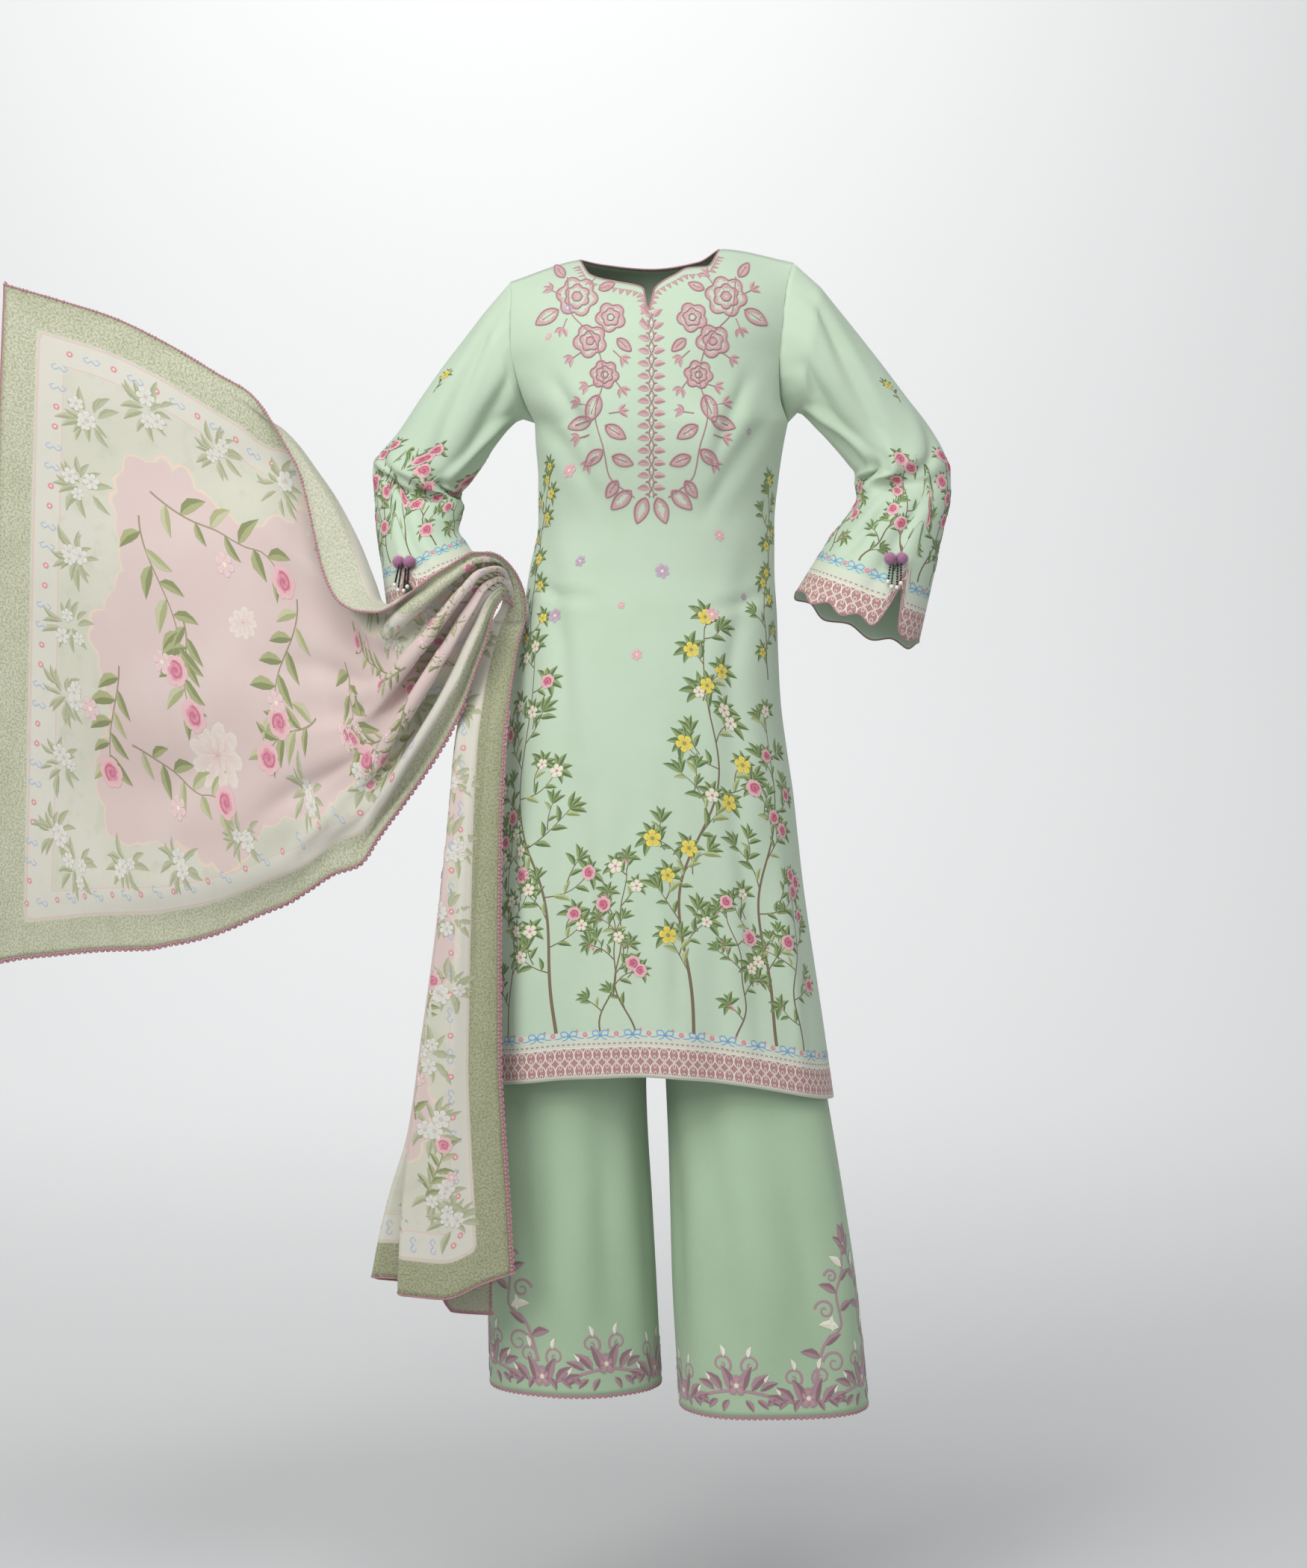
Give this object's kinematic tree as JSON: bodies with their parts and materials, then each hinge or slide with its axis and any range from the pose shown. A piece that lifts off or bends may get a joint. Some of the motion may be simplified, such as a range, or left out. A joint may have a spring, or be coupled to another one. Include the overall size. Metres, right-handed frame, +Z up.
{
  "type": "three-piece lawn suit",
  "caption": "Worn three-piece lawn suit: long straight tunic with bell sleeves, wide trousers and a flowing printed scarf over one forearm.",
  "frame": {"origin": "middle of the neck at shoulder height, where the wearer holds the suit up", "axes": "+Z up, front of the suit towards -Y, wearer's left towards +X"},
  "size_m": [1.1706, 0.2948, 1.3937],
  "materials": {
    "tunic_cloth": "plain woven lawn, mint green, matt",
    "trouser_cloth": "plain woven lawn, green, matt",
    "scarf_cloth": "sheer printed cloth, dusty pink and sage",
    "tassel_thread": "mauve thread",
    "embroidery_thread": "dusty pink thread, slight sheen",
    "bead": "small pearl and black beads"
  },
  "bodies": {
    "root": {"tunic_front": "tunic_cloth", "tunic_back": "tunic_cloth", "sleeve_left": "tunic_cloth", "sleeve_right": "tunic_cloth", "trouser_leg_left": "trouser_cloth", "trouser_leg_right": "trouser_cloth", "waistband": "trouser_cloth", "scarf_fly": "scarf_cloth", "scarf_over_arm": "scarf_cloth", "scarf_fall": "scarf_cloth", "tassel_left": "tassel_thread", "tassel_right": "tassel_thread"}
  },
  "joints": []
}
